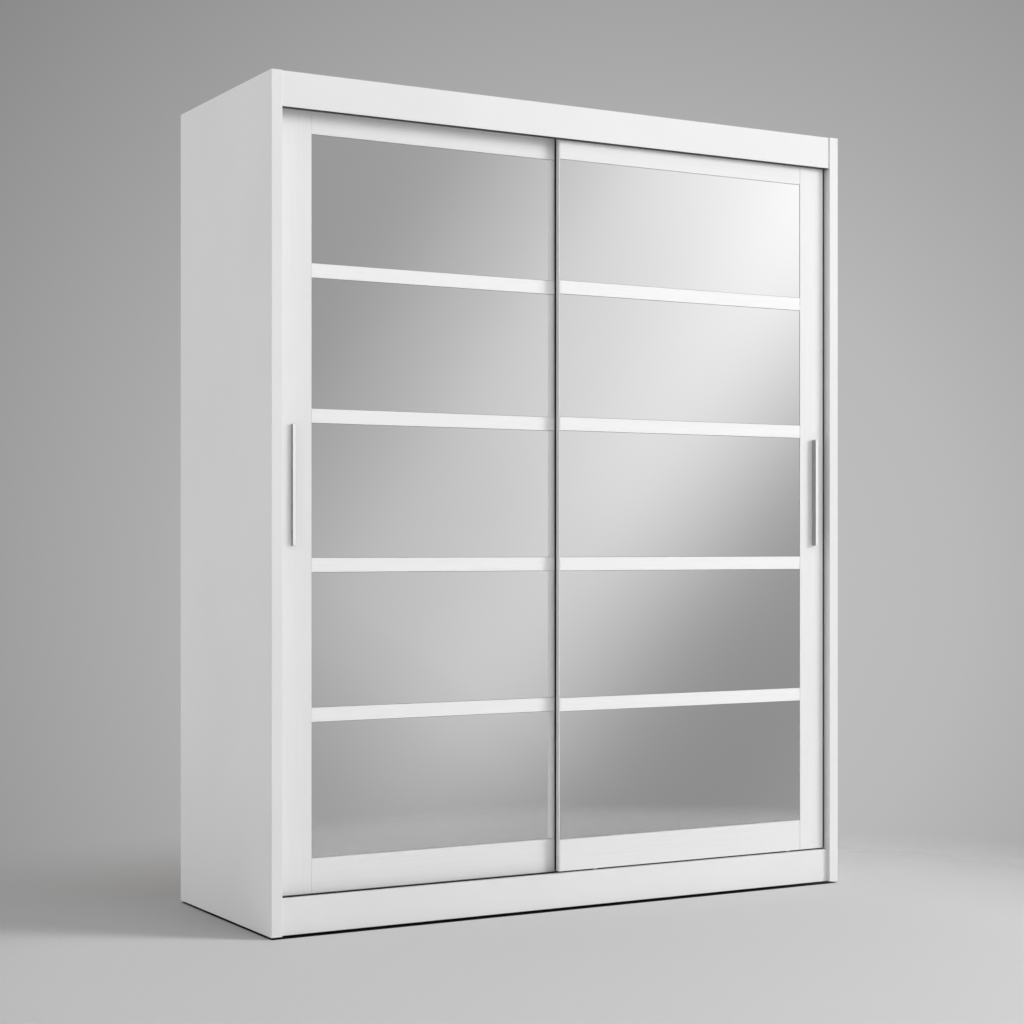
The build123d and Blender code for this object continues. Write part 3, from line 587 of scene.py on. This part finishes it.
# Small parts and door cores: fine grain changes their tone, shine and relief a little.
# Real peel, etching and mould grain is about 1 mm or finer, drawn coarser so that it shows.
speckled = {
    # Thin fibreboard lacquered on a roller line: dull white with a faint orange peel
    "white_core": {
        "name": "fibreboardRollerLacquered", "tones": [(0.3, "#e2e2e1"), (0.7, "#e8e8e7")], "metal": 0.0,
        "grain": 6.0, "detail": 2.0, "rough": (0.42, 0.56), "relief": 0.08, "depth": 0.0004},
    # Powder coat: melted white grains leave a faint peel
    "white_aluminium": {
        "name": "aluminiumPowderCoated", "tones": [(0.3, "#e4e4e4"), (0.7, "#ececec")], "metal": 0.0,
        "grain": 2.5, "detail": 3.0, "rough": (0.38, 0.5), "relief": 0.08, "depth": 0.0003},
    # Black anodising: even and slightly shiny; on the bottom track its black also stands in for the shade
    # line at the foot of the doors
    "black_aluminium": {
        "name": "aluminiumBlackAnodised", "tones": [(0.3, "#131314"), (0.7, "#1c1c1d")], "metal": 0.0,
        "grain": 2.5, "detail": 3.0, "rough": (0.35, 0.45), "relief": 0.03, "depth": 0.0003},
    # Chrome plate: bright and nearly even
    "chromed_steel": {
        "name": "steelChromePlated", "tones": [(0.3, "#cbccd0"), (0.7, "#d8d9db")], "metal": 1.0,
        "grain": 20, "detail": 3.0, "rough": (0.06, 0.12), "relief": 0.01, "depth": 0.0003},
    # Zinc plate: grey spangle
    "zinc_steel": {
        "name": "steelZincPlated", "tones": [(0.3, "#9fa3a8"), (0.7, "#c3c6c9")], "metal": 1.0,
        "grain": 5, "detail": 3.0, "rough": (0.28, 0.45), "relief": 0.03, "depth": 0.0003},
    # Nylon: milky, moulded smooth
    "white_nylon": {
        "name": "nylonMoulded", "tones": [(0.3, "#e1dfd7"), (0.7, "#eceae3")], "metal": 0.0,
        "grain": 3, "detail": 3.0, "rough": (0.35, 0.48), "relief": 0.04, "depth": 0.0003},
    # Black polypropylene: the grain of a spark-eroded mould
    "black_plastic": {
        "name": "polypropyleneMouldGrained", "tones": [(0.3, "#121212"), (0.7, "#1d1d1d")], "metal": 0.0,
        "grain": 1.5, "detail": 3.0, "rough": (0.45, 0.65), "relief": 0.2, "depth": 0.0003},
    # Rubber: dull moulded grey
    "grey_rubber": {
        "name": "rubberMoulded", "tones": [(0.3, "#3a3a3a"), (0.7, "#4a4a4a")], "metal": 0.0,
        "grain": 2, "detail": 3.0, "rough": (0.7, 0.9), "relief": 0.15, "depth": 0.0003},
}


def finishSpeckled(look):
    material, tree, place = startMaterial(look["name"])
    grain = addNode(tree, "ShaderNodeTexNoise", {"Scale": perMetre(look["grain"]), "Detail": look["detail"]},
                    {"Vector": place})
    return endMaterial(material, {"Metallic": look["metal"]}, followPattern(tree, look, grain.outputs["Fac"]))


finishes = {
    "white_board": finishPearlBoard(),
    "white_trim": finishWrappedTrim("Rail", "X", "white"),
    "back_sheet": finishHardboard(),
    "beech": finishBeech(),
    "satin_aluminium": finishSatinAluminium(),
    "silvered_mirror": finishMirror("floatGlassSilvered"),
    "dark_pile": finishPile("polypropylenePileWoven"),
}
for slotName, look in speckled.items():
    finishes[slotName] = finishSpeckled(look)

# Nodes with a finish of their own, by words in their names
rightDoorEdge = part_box("right_door_edge_profile")[0][0]
ownFinishes = {
    "_stile": finishWrappedTrim("Stile", "Z", "white"),
    # the edge profile's whiter foil is a painted highlight along the door's edge
    "_edge_profile": finishWrappedTrim("EdgeProfilePaintedHighlight", "Z", "whiter"),
    "_mid_rails": finishWrappedTrim("MidRail", "X", "whiter"),
    "left_door_pile_seals": finishPile("polypropylenePileOnTape", rightDoorEdge),
    "left_door_mirror": finishMirror("floatGlassSilveredPaintedReflectionEdge", rightDoorEdge),
}

for row in frame["record"]["subparts"]:
    finish = finishes[row["material_slot"]]
    for words, ownFinish in ownFinishes.items():
        if words in row["node"]:
            finish = ownFinish
    for slot in frame["nodes"][row["node"]].material_slots:
        slot.material = finish
print("finishes set:", len(bpy.data.materials), "materials")

# Dust strip: black pile on a woven backing under the cornice; its black also stands in for the shade line
# above the doors
dustStripAndShade = {
    "inset": 0.0015,
    "backing": 0.0006,
    "pileInset": 0.003,
    "pile": 0.0011,
    "ease": 0.0002,
    "easeSteps": 2,
}


def buildDustStripAndShade():
    low, high = (Vector(corner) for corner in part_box("cornice"))
    size = Vector((high.x - low.x, high.y - low.y - 2 * dustStripAndShade["inset"], dustStripAndShade["backing"]))
    middle = ((low.x + high.x) / 2, (low.y + high.y) / 2, low.z - dustStripAndShade["backing"] / 2)
    bpy.ops.object.select_all(action="DESELECT")
    bpy.ops.mesh.primitive_cube_add(size=1, location=middle, scale=size)
    bpy.ops.object.transform_apply(location=True, rotation=True, scale=True)
    strip = bpy.context.object
    strip.name = "corniceDustStrip"
    underside = min(strip.data.polygons, key=lambda face: face.center.z)
    for face in strip.data.polygons:
        face.select = face.index == underside.index
    bpy.ops.object.mode_set(mode="EDIT")
    bpy.ops.mesh.select_mode(type="FACE")
    bpy.ops.mesh.inset(thickness=dustStripAndShade["pileInset"])
    bpy.ops.mesh.extrude_region_move(TRANSFORM_OT_translate={"value": (0, 0, -dustStripAndShade["pile"])})
    bpy.ops.object.mode_set(mode="OBJECT")
    ease = strip.modifiers.new("ease", "BEVEL")
    ease.width = dustStripAndShade["ease"]
    ease.segments = dustStripAndShade["easeSteps"]
    bpy.ops.object.modifier_apply(modifier="ease")
    strip.data.materials.append(finishes["dark_pile"])
    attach(strip, "case")


buildDustStripAndShade()
print("dust strip made")
